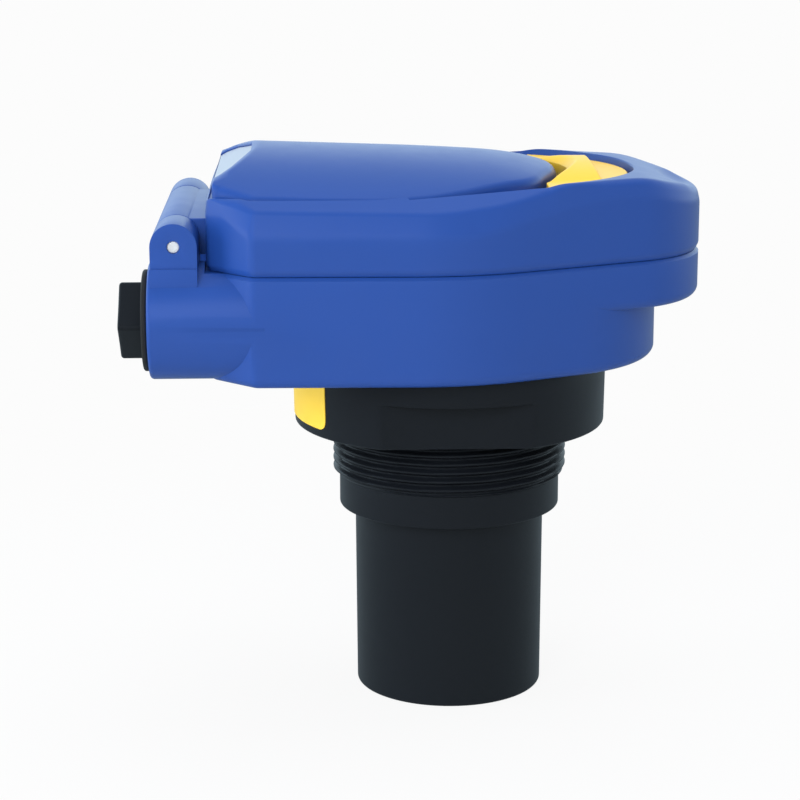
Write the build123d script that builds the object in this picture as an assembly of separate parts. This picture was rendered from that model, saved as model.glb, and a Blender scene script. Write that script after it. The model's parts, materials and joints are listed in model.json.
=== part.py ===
from build123d import *
import os
from math import cos, hypot, radians, sin, sqrt, tan

os.makedirs("parts", exist_ok=True)

# Ultrasonic level transmitter, in millimetres. The origin is the centre of the
# sensing face, Z runs up the sensor axis, X points to the latch end of the
# housing and the lid's hinge lies at the other end.

# Sensor body, one moulding turned about the Z axis
face_radius = 24.15
tube_top_radius = 24.45
tube_length = 48.7
face_wall = 3.2
bore_radius = 21.4
face_round = 0.6
ring_radius = 28.5
ring_height = 8.3
thread_radius = 30.15
thread_length = 14.0
collar_radius = 39.9
collar_height = 17.8
collar_draft = 1.0
wrench_flat_distance = 35.25
wrench_flat_height = 11.2
neck_radius = 25.0
neck_length = 12.5
oring_radius = 32.5
oring_section = 0.85
oring_groove_width = 2.4
oring_groove_depth = 1.8

# Lock nut on the neck
nut_height = 7.0
nut_radius = 30.0
nut_notches = 8
nut_notch_width = 5.0
nut_notch_depth = 2.2
nut_notch_base = 2.5

# Housing, lid and the outline that they share in plan
floor_wall = 3.2
wall = 3.0
housing_height = 27.0
rim_height = 12.0
rear_x = -60.5
rear_half_width = 34.3
chamfer_x = -49.5
chamfer_half_width = 45.2
shoulder_half_width = 46.6
shoulder_radius = 60.0
corner_radius = 3.5
side_taper = 25.0
front_x = 63.5
front_radius = 29.6
low_front_x = 52.5
bottom_fillet = 2.6
rim_chamfer = 0.8
gasket_start = 1.3
gasket_width = 1.2
gasket_depth = 1.3
gasket_clearance = 0.1

# Lid: flat deck, sloped nose and two bevels along each side, given by half width and height over the parting plane
lid_gap = 0.25
deck_height = 20.25
deck_round = 3.2
nose_start_x = 46.6
nose_slope = 15.6
nose_blend = 25.0
side_bevels = [(48.0, 7.95), (43.0, 15.3), (34.0, 20.89), (34.0, 30.0), (60.0, 30.0), (60.0, 7.95)]
lid_inside = [(-1.0, 0.0), (10.5, 0.0), (13.9, 3.7)]

# Hood on the lid: stations along X with the crest height over the parting plane and the sag of the arch
hood_stations = [(-63.0, 27.2, 9.6), (-38.0, 26.3, 9.3), (-10.0, 25.3, 8.9),
                 (10.0, 24.2, 8.5), (20.5, 22.7, 7.0), (30.0, 19.5, 7.0)]
hood_reach = 40.0
hood_half_width = 38.3
hood_rear_half_width = 33.0
hood_side_end = -8.0
hood_nose_half_width = 24.0
hood_nose_side_x = 20.0
hood_tip_x = 28.9
hood_tip_radius = 30.0
hood_side_radius = 60.0
hood_wall = 2.8
hood_groove = 1.0
groove_height = 16.6
rear_slope_start = 20.3
rear_slope = 27.9
plate_recess = 1.4
plate_thickness = 0.8
plate_sides = [(1.5, 28.0), (6.9, 20.8), (11.6, 8.0)]
plate_corner = 1.5
plate_clearance = 0.15

# Hinge
hinge_x = -67.9
hinge_height = 6.9
hinge_radius = 5.6
pin_radius = 1.5
pin_fit = 0.08
pin_press = 0.02
knuckle_half_length = 26.0
knuckle_web_low = 4.2
knuckle_web_high = 4.6
lug_end = 41.0
pedestal_lip = 0.4
pedestal_top = 1.7
side_clearance = 0.3

# Conduit entries, plug and washer
entry_offset = 31.0
entry_height = 14.5
entry_radius = 14.3
entry_bore_radius = 9.2
entry_end_x = -74.5
entry_round = 1.0
plug_flats = 13.9
plug_corner = 0.7
plug_bevel = 0.6
plug_head_length = 5.7
plug_shank_length = 12.0
plug_shank_wall = 2.4
seal_radius = 12.35
seal_thickness = 1.5
seal_round = 0.6
thread_clearance = 0.05

# Latch
recess_radius = 38.2
recess_centre_x = 8.2
recess_depth = 4.6
recess_back_x = -12.0
latch_clearance = 0.3
latch_travel = 2.2
latch_arm_x = 21.5
latch_thickness = 2.9
ridge_height = 3.7
ridge_sag = 3.6
ridge_half_width = 30.0
ridge_front_x = 34.3
ridge_foot_x = 35.7
stem_x = 39.0
stem_length = 4.0
stem_half_width = 7.0
hook_leg_x = 56.0
hook_leg_length = 2.2
hook_half_width = 5.0
hook_reach = 2.3
hook_height = 2.0
hook_bottom = -6.6
bar_height = 9.8
bar_thickness = 2.0
bar_side = 2.0
bar_pad = 4.0
bar_pad_end = 6.0
latch_screw_offset = 4.0
latch_screw_radius = 1.0
latch_screw_head = 2.0
latch_screw_head_height = 1.3
catch_length = 2.5
catch_nib = 2.3
catch_half_width = 6.0
catch_foot = 6.0

# Board, cover panel, display and keys
board_height = 14.2
board_thickness = 1.6
board_rear_x = -40.0
cover_rear_x = -20.0
cover_height = 7.0
cover_wall = 2.2
cover_round = 1.0
board_inset = 2.0
cover_inset = 0.5
post_radius = 3.2
screw_radius = 1.5
screw_head_radius = 2.7
screw_head_height = 1.7
screw_depth = 7.0
screw_hole_clearance = 0.2
socket_radius = 1.2
socket_base = 0.7
cover_posts = [(24.0, 25.0), (24.0, -25.0), (-14.0, 34.0), (-14.0, -34.0)]
board_posts = [(-34.0, 34.0), (-34.0, -34.0)]
window_x = 12.0
window_length = 18.0
window_width = 40.0
window_thickness = 1.2
window_ledge = 1.5
window_clearance = 0.1
display_thickness = 3.0
display_margin_x = 1.0
display_margin_y = 2.0
display_foot = 0.8
key_x = 34.5
key_pitch = 10.0
key_radius = 3.2
key_rise = 1.2
key_travel = 1.0
key_round = 0.6
key_flange = 1.0
key_stem_radius = 1.2
key_names = ["key_up", "key_down", "key_set", "key_back"]
switch_side = 5.0
switch_height = 1.4
part_gap = 0.2
part_x = -12.0
transformer_side = 12.0
transformer_y = 16.0
can_height = 4.4
can_gap = 2.0
can_pitch = 8.0
can_radius = 3.0
chip_side = 10.0
chip_offset = 21.0
chip_height = 1.6

# Terminals and earth screw in the wiring bay
terminal_inset = 2.0
terminal_length = 10.0
terminal_height = 9.0
terminal_pitch = 7.5
terminal_count = 4
terminal_bevel = 1.5
well_radius = 2.4
well_depth = 3.5
wire_hole_length = 6.0
wire_hole_half_width = 1.8
wire_hole_low = 1.0
wire_hole_high = 4.6
terminal_screw_radius = 2.1
terminal_screw_top = 1.0
slot_half_width = 0.4
slot_depth = 0.8
ground_x = -49.0
ground_height = 5.0
ground_post_radius = 4.0
ground_screw_radius = 2.0
ground_head_radius = 3.6
ground_head_height = 2.2

# Sensor parts
disc_radius = 17.0
disc_thickness = 5.0
sleeve_length = 22.0
sleeve_clearance = 0.1
wire_radius = 0.8
wire_spacing = 5.0
wire_clearance = 0.3
socket_length = 18.0
socket_width = 8.0
socket_height = 3.5
socket_corner = 1.0

# Label on the collar
label_low = 2.3
label_top = 0.3
label_thickness = 0.3
label_lift = 0.02
label_start = 216.4
label_sweep = -52.0

# Heights worked out from the sizes above
ring_z = tube_length
thread_z = ring_z + ring_height
collar_z = thread_z + thread_length
housing_z = collar_z + collar_height
floor_z = housing_z + floor_wall
part_z = housing_z + housing_height
step_z = part_z - rim_height
lid_z = part_z + lid_gap
neck_top = housing_z + neck_length
hinge_z = part_z + hinge_height
entry_z = housing_z + entry_height
board_z = housing_z + board_height
board_top = board_z + board_thickness
cover_top = board_top + cover_height
under_cover = cover_top - cover_wall
deck_z = lid_z + deck_height
recess_floor = deck_z - recess_depth
clear = 60.0
from_base = (Align.CENTER, Align.CENTER, Align.MIN)


def save(shape, name):
    export_step(shape, "parts/" + name + ".step")


def block(x0, x1, y0, y1, z0, z1):
    size = Box(x1 - x0, y1 - y0, z1 - z0)
    return Pos((x0 + x1) / 2, (y0 + y1) / 2, (z0 + z1) / 2) * size


def post(x, y, z0, z1, radius):
    return Pos(x, y, z0) * Cylinder(radius, z1 - z0, align=from_base)


def rod_x(x0, x1, y, z, radius):
    return Pos(x0, y, z) * Rot(0, 90, 0) * Cylinder(radius, x1 - x0, align=from_base)


def rod_y(y0, y1, x, z, radius):
    return Pos(x, y0, z) * Rot(-90, 0, 0) * Cylinder(radius, y1 - y0, align=from_base)


def turned(points):
    return revolve(Plane.XZ * make_face(Polyline(*points, close=True)), Axis.Z)


def across(points, half_length):
    """Outline in X and Z, drawn out along Y to both sides."""
    return extrude(Plane.XZ * make_face(Polyline(*points, close=True)), amount=half_length, both=True)


def prism(face, height):
    return extrude(face, amount=height)


def line_crossing(first, second):
    """Point where two lines cross, each given as a point and a direction."""
    (ax, ay), (ux, uy) = first
    (bx, by), (vx, vy) = second
    along = ((bx - ax) * vy - (by - ay) * vx) / (ux * vy - uy * vx)
    return ax + ux * along, ay + uy * along


def moved_in(corners, inset):
    """Corners of a convex outline, counter-clockwise, with each side moved inwards."""
    sides = []
    for (ax, ay), (bx, by) in zip(corners, corners[1:] + corners[:1]):
        length = hypot(bx - ax, by - ay)
        ux, uy = (bx - ax) / length, (by - ay) / length
        sides.append(((ax - uy * inset, ay + ux * inset), (ux, uy)))
    return [line_crossing(sides[i - 1], sides[i]) for i in range(len(sides))]


def outline(corners, radii, inset, z):
    """Face at height z inside an outline with rounded corners, moved in by inset."""
    rounded = [max(radius - inset, 0.4) for radius in radii]
    wire = FilletPolyline(*moved_in(corners, inset), radius=rounded, close=True)
    return Pos(0, 0, z) * make_face(wire)


# Corners of the plan: two tapered sides would meet at the tip, ahead of the rounded front
taper_sine = sin(radians(side_taper))
tip_x = front_x - front_radius + front_radius / taper_sine
shoulder_x = tip_x - shoulder_half_width / tan(radians(side_taper))
low_front_radius = (tip_x - low_front_x) / (1 / taper_sine - 1)
plan_corners = [(tip_x, 0.0), (shoulder_x, shoulder_half_width), (chamfer_x, chamfer_half_width),
                (rear_x, rear_half_width), (rear_x, -rear_half_width), (chamfer_x, -chamfer_half_width),
                (shoulder_x, -shoulder_half_width)]
plan_radii = [front_radius, shoulder_radius] + [corner_radius] * 4 + [shoulder_radius]
low_radii = [low_front_radius] + plan_radii[1:]


def rim_plan(inset, z):
    return outline(plan_corners, plan_radii, inset, z)


def low_plan(inset, z):
    return outline(plan_corners, low_radii, inset, z)


# Sensor body
collar_top_radius = collar_radius + collar_height * tan(radians(collar_draft))
groove_in = oring_radius - oring_groove_width / 2
groove_out = oring_radius + oring_groove_width / 2
oring_z = housing_z - oring_groove_depth / 2
sensor = turned([(0, 0), (face_radius, 0), (tube_top_radius, ring_z), (ring_radius, ring_z),
                 (ring_radius, thread_z), (thread_radius, thread_z), (thread_radius, collar_z),
                 (collar_radius, collar_z), (collar_top_radius, housing_z), (neck_radius, housing_z),
                 (neck_radius, neck_top), (0, neck_top)])
sensor -= post(0, 0, face_wall, neck_top, bore_radius)
sensor -= turned([(groove_in, housing_z - oring_groove_depth), (groove_out, housing_z - oring_groove_depth),
                  (groove_out, housing_z), (groove_in, housing_z)])
for side in (-1, 1):
    y0, y1 = sorted((side * wrench_flat_distance, side * clear))
    sensor -= block(-clear, clear, y0, y1, collar_z, collar_z + wrench_flat_height)
sensor = fillet(sensor.edges().filter_by(GeomType.CIRCLE).group_by(Axis.Z)[0], face_round)
save(sensor, "sensor_body")
save(revolve(Plane.XZ * (Pos(oring_radius, oring_z) * Circle(oring_section)), Axis.Z), "collar_oring")

# Round nut on the neck, with notches for a pin wrench
nut_top = floor_z + nut_height
nut = post(0, 0, floor_z, nut_top, nut_radius)
nut -= post(0, 0, floor_z, nut_top, neck_radius + thread_clearance)
notch = block(nut_radius - nut_notch_depth, clear, -nut_notch_width / 2, nut_notch_width / 2,
              floor_z + nut_notch_base, nut_top)
for step in range(nut_notches):
    nut -= Rot(0, 0, 360 / nut_notches * step) * notch
save(nut, "lock_nut")

# Transducer behind the sensing face
disc_top = face_wall + disc_thickness
sleeve_top = face_wall + sleeve_length
save(post(0, 0, face_wall, disc_top, disc_radius), "piezo_disc")
sleeve = post(0, 0, face_wall, sleeve_top, bore_radius - sleeve_clearance)
sleeve -= post(0, 0, face_wall, sleeve_top, disc_radius + sleeve_clearance)
save(sleeve, "damping_sleeve")
backing = post(0, 0, disc_top, sleeve_top, disc_radius)
for side in (-1, 1):
    backing -= post(side * wire_spacing, 0, disc_top, sleeve_top, wire_radius + wire_clearance)
save(backing, "transducer_backing")
socket = block(-socket_length / 2, socket_length / 2, -socket_width / 2, socket_width / 2,
               board_z - socket_height, board_z)
save(fillet(socket.edges().filter_by(Axis.Z), socket_corner), "lead_connector")
leads = [post(side * wire_spacing, 0, disc_top, board_z - socket_height, wire_radius) for side in (-1, 1)]
save(Compound(children=leads), "transducer_leads")

# Lower housing: narrow foot, wider rim and the two conduit bosses
foot = prism(low_plan(0, housing_z), step_z + wall - housing_z)
foot = fillet(foot.edges().group_by(Axis.Z)[0], bottom_fillet)
rim = prism(rim_plan(0, step_z), rim_height)
rim = chamfer(rim.edges().group_by(Axis.Z)[-1], rim_chamfer)
rim = fillet(rim.edges().group_by(Axis.Z)[0], bottom_fillet)
housing = foot + rim
for side in (-1, 1):
    boss = rod_x(entry_end_x, chamfer_x + wall, side * entry_offset, entry_z, entry_radius)
    housing += fillet(boss.edges().filter_by(GeomType.CIRCLE).group_by(Axis.X)[0], entry_round)
housing -= block(rear_x - side_clearance, chamfer_x + wall, -clear, clear, part_z, deck_z)
housing -= prism(low_plan(wall, floor_z), part_z - floor_z)
housing -= prism(rim_plan(wall, step_z + wall), rim_height - wall)

# Hinge lugs on pedestals, then the bores
lug_inner = knuckle_half_length + side_clearance
for side in (-1, 1):
    y0, y1 = sorted((side * lug_inner, side * lug_end))
    lug = rod_y(y0, y1, hinge_x, hinge_z, hinge_radius)
    lug += block(hinge_x - hinge_radius, hinge_x + hinge_radius, y0, y1, entry_z, hinge_z)
    y2, y3 = sorted((side * lug_inner, side * (lug_end + pedestal_lip)))
    lug += block(hinge_x - hinge_radius - pedestal_lip / 2, hinge_x + hinge_radius, y2, y3, entry_z,
                 part_z + pedestal_top)
    y4, y5 = sorted((side * lug_inner, side * rear_half_width))
    lug += block(hinge_x, rear_x + 1, y4, y5, entry_z, part_z)
    housing += lug
    housing -= rod_y(y2, y3, hinge_x, hinge_z, pin_radius + pin_press)
for side in (-1, 1):
    housing -= rod_x(entry_end_x, chamfer_x, side * entry_offset, entry_z, entry_bore_radius)
housing -= post(0, 0, housing_z, floor_z, neck_radius + sleeve_clearance)

# Screw posts, catch for the latch and earth post inside the housing
for x, y in cover_posts + board_posts:
    housing += post(x, y, floor_z - 1, board_z, post_radius)
    housing -= post(x, y, board_z - screw_depth - 1, board_z, screw_radius + pin_press)
catch_front = hook_leg_x - hook_reach - latch_clearance
catch_x1 = catch_front - catch_nib
catch_x0 = catch_x1 - catch_length
catch_z = part_z + hook_bottom + hook_height + latch_clearance
catch = block(catch_x0, catch_x1, -catch_half_width, catch_half_width, step_z - catch_foot, catch_z + hook_height)
catch += block(catch_x0, catch_front, -catch_half_width, catch_half_width, catch_z, catch_z + hook_height)
housing += catch
ground_z = floor_z + ground_height
housing += post(ground_x, 0, floor_z - 1, ground_z, ground_post_radius)
housing -= post(ground_x, 0, floor_z + part_gap, ground_z, ground_screw_radius + pin_press)
groove_z = part_z - gasket_depth
gasket_end = gasket_start + gasket_width
housing -= prism(rim_plan(gasket_start, groove_z), gasket_depth) - prism(rim_plan(gasket_end, groove_z), gasket_depth)
save(housing, "lower_housing")

gasket_z = groove_z + gasket_clearance
gasket_height = gasket_depth + lid_gap - 2 * gasket_clearance
gasket = prism(rim_plan(gasket_start + gasket_clearance, gasket_z), gasket_height)
gasket -= prism(rim_plan(gasket_end - gasket_clearance, gasket_z), gasket_height)
save(gasket, "lid_gasket")

# Hood outline, its arched roof and its sloped rear end
hood_corners = [(hood_tip_x, 0.0), (hood_nose_side_x, hood_nose_half_width), (hood_side_end, hood_half_width),
                (chamfer_x, hood_half_width), (rear_x + 0.6, hood_rear_half_width)]
hood_corners += [(x, -y) for x, y in hood_corners[:0:-1]]
hood_radii = [hood_tip_radius, 12.0, hood_side_radius, 3.0, 2.0, 2.0, 3.0, hood_side_radius, 12.0]
hood_base = lid_z + 12
hood_top = deck_z + 20
slope_tilt = radians(rear_slope)
slope_plane = Plane(origin=(rear_x, 0, part_z + rear_slope_start), x_dir=(cos(slope_tilt), 0, sin(slope_tilt)),
                    z_dir=(-sin(slope_tilt), 0, cos(slope_tilt)))


def hood_plan(inset, z0, z1):
    return prism(outline(hood_corners, hood_radii, inset, z0), z1 - z0)


def roof(drop):
    sections = []
    for x, crest, sag in hood_stations:
        top = part_z + crest - drop
        edge = top - sag
        arch = ThreePointArc((-hood_reach, edge), (0, top), (hood_reach, edge))
        sides = Polyline((hood_reach, edge), (hood_reach, hood_base - 5), (-hood_reach, hood_base - 5),
                         (-hood_reach, edge))
        sections.append(Plane.YZ.offset(x) * make_face(arch + sides))
    return loft(sections, ruled=True)


def behind_slope(depth):
    """Everything above and behind the sloped rear end, moved in by depth."""
    return slope_plane * (Pos(0, 0, -depth) * Box(80, 2 * clear, 40, align=from_base))


# Lid shell: deck with a sloped nose, rounded upper edge, bevelled sides
nose_reach = front_x + 10 - nose_start_x
nose_end_z = deck_z - nose_reach * tan(radians(nose_slope))
lid = prism(rim_plan(0, lid_z), deck_height)
lid -= across([(nose_start_x, deck_z), (nose_start_x + nose_reach, nose_end_z),
               (nose_start_x + nose_reach, deck_z + 5), (nose_start_x, deck_z + 5)], clear)
nose_edge = lid.edges().filter_by(Axis.Y).group_by(Axis.Z)[-1].sort_by(Axis.X)[-1]
lid = fillet(nose_edge, nose_blend)
upper_edges = [edge for edge in lid.edges()
               if edge.center().Z > deck_z - 6 and not (abs(edge.center().X - nose_start_x) < 5
                                                        and abs(edge.center().Y) < 1)]
lid = fillet(upper_edges, deck_round)
lid = chamfer(lid.edges().group_by(Axis.Z)[0], rim_chamfer)
for side in (-1, 1):
    bevel = Polyline(*[(side * y, part_z + height) for y, height in side_bevels], close=True)
    lid -= extrude(Plane.YZ * make_face(bevel), amount=90, both=True)
lid -= behind_slope(0)

# Recess round the hood's nose, groove along its sides, then the hood itself
recess_arc_y = sqrt(recess_radius**2 - (latch_arm_x - recess_centre_x) ** 2)
recess_edge = ThreePointArc((latch_arm_x, -recess_arc_y), (recess_centre_x + recess_radius, 0),
                            (latch_arm_x, recess_arc_y))
back_y = hood_half_width + hood_groove
recess_back = Polyline((latch_arm_x, recess_arc_y), (recess_back_x, back_y), (recess_back_x, -back_y),
                       (latch_arm_x, -recess_arc_y))
recess = Pos(0, 0, recess_floor) * make_face(recess_edge + recess_back)
lid -= prism(recess, 10)
lid -= hood_plan(-hood_groove, part_z + groove_height, hood_top)
hood = roof(0) & hood_plan(0, hood_base, hood_top)
lid += hood - behind_slope(0)

# Hollow of the lid
lid -= loft([rim_plan(wall + inset, lid_z + height) for height, inset in lid_inside], ruled=True)
inner_roof = roof(hood_wall) & hood_plan(wall, hood_base, hood_top)
lid -= inner_roof - behind_slope(hood_wall + plate_recess + 1)

# Hinge knuckle
knuckle = rod_y(-knuckle_half_length, knuckle_half_length, hinge_x, hinge_z, hinge_radius)
knuckle += block(hinge_x, rear_x + 1, -knuckle_half_length, knuckle_half_length, hinge_z - knuckle_web_low,
                 hinge_z + knuckle_web_high)
lid += knuckle
lid -= rod_y(-knuckle_half_length, knuckle_half_length, hinge_x, hinge_z, pin_radius + pin_fit)

# Nameplate in a shallow recess on the sloped rear end
plate_points = [(x, -y) for x, y in plate_sides] + plate_sides[::-1]
plate_face = make_face(FilletPolyline(*plate_points, radius=plate_corner, close=True))
lid -= slope_plane * (Pos(0, 0, -plate_recess) * extrude(plate_face, amount=plate_recess + 2))
plate_inner = FilletPolyline(*moved_in(plate_points, plate_clearance), radius=plate_corner - plate_clearance,
                             close=True)
nameplate = extrude(make_face(plate_inner), amount=plate_thickness)
save(slope_plane * (Pos(0, 0, -plate_recess) * nameplate), "nameplate")

# Slot for the latch stem
slot_x0 = stem_x - stem_length / 2 - latch_travel - latch_clearance
slot_x1 = stem_x + stem_length / 2 + latch_clearance
slot_half = stem_half_width + latch_clearance
lid -= block(slot_x0, slot_x1, -slot_half, slot_half, recess_floor - 6, recess_floor + 1)
save(lid, "lid")
save(rod_y(-lug_end + pedestal_lip, lug_end - pedestal_lip, hinge_x, hinge_z, pin_radius), "hinge_pin")

# Latch plate: crescent, finger ridge and stem
latch_z = recess_floor + latch_clearance
latch_top = latch_z + latch_thickness
crescent = post(recess_centre_x, 0, latch_z, latch_top, recess_radius - latch_clearance)
latch = crescent & block(latch_arm_x, front_x, -clear, clear, latch_z, latch_top)
ridge_top = latch_top + ridge_height
ridge = across([(latch_arm_x, latch_z), (latch_arm_x, ridge_top), (ridge_front_x, ridge_top),
                (ridge_foot_x, latch_top), (ridge_foot_x, latch_z)], clear)
arch_base = ridge_top - ridge_sag
ridge_arch = ThreePointArc((-ridge_half_width, arch_base), (0, ridge_top), (ridge_half_width, arch_base))
arch_close = Polyline((ridge_half_width, arch_base), (ridge_half_width, latch_z), (-ridge_half_width, latch_z),
                      (-ridge_half_width, arch_base))
ridge &= extrude(Plane.YZ.offset(latch_arm_x) * make_face(ridge_arch + arch_close), amount=front_x)
latch += ridge & post(recess_centre_x, 0, latch_z, ridge_top, recess_radius - latch_clearance)
nose_gap = latch_travel + latch_clearance
latch -= Pos(nose_gap, 0, 0) * hood_plan(-latch_clearance, latch_z - 1, hood_top)
bar_z = lid_z + bar_height
bar_top = bar_z + bar_thickness
latch += block(stem_x - stem_length / 2, stem_x + stem_length / 2, -stem_half_width, stem_half_width, bar_top,
               latch_z + 1)
for side in (-1, 1):
    latch -= post(stem_x, side * latch_screw_offset, bar_top, latch_z + 0.5, latch_screw_radius + pin_press)
save(latch, "latch_plate")

# Hook bar inside the lid, with a wider pad under the stem
hook_z = part_z + hook_bottom
hook_x1 = hook_leg_x + hook_leg_length
pad_half = hook_half_width + bar_side
slider = block(stem_x - bar_pad, stem_x + bar_pad_end, -pad_half, pad_half, bar_z, bar_top)
slider += block(stem_x, hook_x1, -hook_half_width, hook_half_width, bar_z, bar_top)
slider += block(hook_leg_x, hook_x1, -hook_half_width, hook_half_width, hook_z, bar_top)
slider += block(hook_leg_x - hook_reach, hook_leg_x, -hook_half_width, hook_half_width, hook_z,
                hook_z + hook_height)
latch_screws = []
for side in (-1, 1):
    y = side * latch_screw_offset
    slider -= post(stem_x, y, bar_z, bar_top, latch_screw_radius + plate_clearance)
    screw = post(stem_x, y, bar_z, latch_z, latch_screw_radius)
    latch_screws.append(screw + post(stem_x, y, bar_z - latch_screw_head_height, bar_z, latch_screw_head))
save(slider, "latch_slider")
save(Compound(children=latch_screws), "latch_screws")

# Conduit plug with a square head, and its washer, in the entry on the near side
near_y = -entry_offset
seal_x = entry_end_x - seal_thickness
seal = rod_x(seal_x, entry_end_x, near_y, entry_z, seal_radius)
seal = fillet(seal.edges().filter_by(GeomType.CIRCLE), seal_round)
seal -= rod_x(seal_x, entry_end_x, near_y, entry_z, entry_bore_radius)
save(seal, "plug_seal")
shank_radius = entry_bore_radius - thread_clearance
shank_end = entry_end_x + plug_shank_length
square = Rot(0, 0, 45) * RectangleRounded(plug_flats, plug_flats, plug_corner)
plug = extrude(Plane.YZ.offset(seal_x) * (Pos(near_y, entry_z) * square), amount=-plug_head_length)
plug = chamfer(plug.edges().group_by(Axis.X)[0], plug_bevel)
plug += rod_x(seal_x, shank_end, near_y, entry_z, shank_radius)
plug -= rod_x(entry_end_x + 2, shank_end, near_y, entry_z, shank_radius - plug_shank_wall)
save(plug, "conduit_plug")

# Label on the collar, a thin patch that follows its draft
draft_slope = tan(radians(collar_draft))
label_z0 = collar_z + label_low
label_z1 = housing_z - label_top
label_r0 = collar_radius + label_low * draft_slope + label_lift
label_r1 = collar_top_radius - label_top * draft_slope + label_lift
label_section = make_face(Polyline((label_r0, label_z0), (label_r0 + label_thickness, label_z0),
                                   (label_r1 + label_thickness, label_z1), (label_r1, label_z1), close=True))
label = revolve(Plane.XZ * label_section, Axis.Z, revolution_arc=label_sweep)
save(Rot(0, 0, label_start) * label, "collar_label")

# Main board, cut to the shape of the housing
board = prism(low_plan(wall + board_inset, board_z), board_thickness)
board &= block(board_rear_x, low_front_x, -clear, clear, board_z, board_top)
for x, y in cover_posts + board_posts:
    board -= post(x, y, board_z, board_top, screw_radius + screw_hole_clearance)
save(board, "main_board")

# Cover panel over the board, with a window opening and four key holes
cover_plan_inset = wall + board_inset + cover_inset
head_base = cover_top - screw_head_height - part_gap
cover_bulk = prism(low_plan(cover_plan_inset, board_top), cover_height)
cover = cover_bulk & block(cover_rear_x, low_front_x, -clear, clear, board_top, cover_top)
cover = fillet(cover.edges().group_by(Axis.Z)[-1], cover_round)
inside = prism(low_plan(cover_plan_inset + cover_wall, board_top), cover_height - cover_wall)
cover -= inside & block(cover_rear_x + cover_wall, low_front_x, -clear, clear, board_top, under_cover)
for x, y in cover_posts:
    cover += post(x, y, board_top, under_cover, post_radius) & cover_bulk
    cover -= post(x, y, board_top, cover_top, screw_radius + screw_hole_clearance)
    cover -= post(x, y, head_base, cover_top, screw_head_radius + screw_hole_clearance)
half_length = window_length / 2
half_width = window_width / 2
window_z = cover_top - window_thickness
cover -= block(window_x - half_length, window_x + half_length, -half_width, half_width, window_z, cover_top)
opening_length = half_length - window_ledge
opening_width = half_width - window_ledge
cover -= block(window_x - opening_length, window_x + opening_length, -opening_width, opening_width, under_cover,
               cover_top)
key_places = [(key_x, (step - 1.5) * key_pitch) for step in range(len(key_names))]
for x, y in key_places:
    cover -= post(x, y, under_cover, cover_top, key_radius + side_clearance)
save(cover, "electronics_cover")
pane_length = half_length - window_clearance
pane_width = half_width - window_clearance
save(block(window_x - pane_length, window_x + pane_length, -pane_width, pane_width, window_z, cover_top),
     "display_window")
display_top = under_cover - part_gap
display_length = half_length + display_margin_x
display_width = half_width + display_margin_y
display = block(window_x - display_length, window_x + display_length, -display_width, display_width,
                display_top - display_thickness, display_top)
for side in (-1, 1):
    foot_y = side * half_width
    display += block(window_x - half_length, window_x + half_length, foot_y - display_foot, foot_y + display_foot,
                     board_top, display_top - 1)
save(display, "display_module")

# Keys, each with a flange under the panel, and the switches below them
flange_top = under_cover - part_gap
flange_z = flange_top - key_flange
stem_z = board_top + switch_height + key_travel + window_clearance
switches = []
for name, (x, y) in zip(key_names, key_places):
    cap = post(x, y, flange_z, cover_top + key_rise, key_radius)
    cap = fillet(cap.edges().group_by(Axis.Z)[-1], key_round)
    cap += post(x, y, flange_z, flange_top, key_radius + key_flange)
    cap += post(x, y, stem_z, flange_top, key_stem_radius)
    save(cap, name)
    switches.append(Pos(x, y, board_top) * Box(switch_side, switch_side, switch_height, align=from_base))
save(Compound(children=switches), "key_switches")


def headed_screws(places, base):
    """Socket-head screws through the board, with the underside of the head at base."""
    screws = []
    for x, y in places:
        screw = post(x, y, base, base + screw_head_height, screw_head_radius)
        screw += post(x, y, board_z - screw_depth, base, screw_radius)
        screw -= post(x, y, base + socket_base, base + screw_head_height, socket_radius)
        screws.append(screw)
    return Compound(children=screws)


save(headed_screws(cover_posts, head_base), "cover_screws")
save(headed_screws(board_posts, board_top), "board_screws")

# Parts on the board
part_top = board_top + can_height
chip_y = chip_side / 2
save(block(part_x, part_x + transformer_side, -transformer_y - transformer_side, -transformer_y, board_top,
           part_top), "drive_transformer")
cans = [post(part_x - can_gap, step * can_pitch, board_top, part_top, can_radius) for step in (-1, 0, 1)]
save(Compound(children=cans), "capacitors")
save(block(part_x, part_x + chip_side, chip_offset - chip_y, chip_offset + chip_y, board_top,
           board_top + chip_height), "processor_chip")

# Terminals in the wiring bay, and the earth screw
terminal_x0 = board_rear_x + terminal_inset
terminal_x1 = terminal_x0 + terminal_length
terminal_top = board_top + terminal_height
terminal_half = terminal_count * terminal_pitch / 2 + 1
well_x = (terminal_x0 + terminal_x1) / 2
well_z = terminal_top - well_depth
screw_top = terminal_top - terminal_screw_top
terminals = block(terminal_x0, terminal_x1, -terminal_half, terminal_half, board_top, terminal_top)
terminals = chamfer(terminals.edges().filter_by(Axis.Y).group_by(Axis.Z)[-1].sort_by(Axis.X)[0], terminal_bevel)
terminal_screws = []
for step in range(terminal_count):
    y = (step - (terminal_count - 1) / 2) * terminal_pitch
    terminals -= post(well_x, y, well_z, terminal_top, well_radius)
    terminals -= block(terminal_x0, terminal_x0 + wire_hole_length, y - wire_hole_half_width,
                       y + wire_hole_half_width, board_top + wire_hole_low, board_top + wire_hole_high)
    screw = post(well_x, y, well_z, screw_top, terminal_screw_radius)
    screw -= block(well_x - well_radius, well_x + well_radius, y - slot_half_width, y + slot_half_width,
                   screw_top - slot_depth, screw_top)
    terminal_screws.append(screw)
save(terminals, "terminal_block")
save(Compound(children=terminal_screws), "terminal_screws")
earth_top = ground_z + ground_head_height
earth = post(ground_x, 0, ground_z, earth_top, ground_head_radius)
earth += post(ground_x, 0, floor_z + 1, ground_z, ground_screw_radius)
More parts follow.
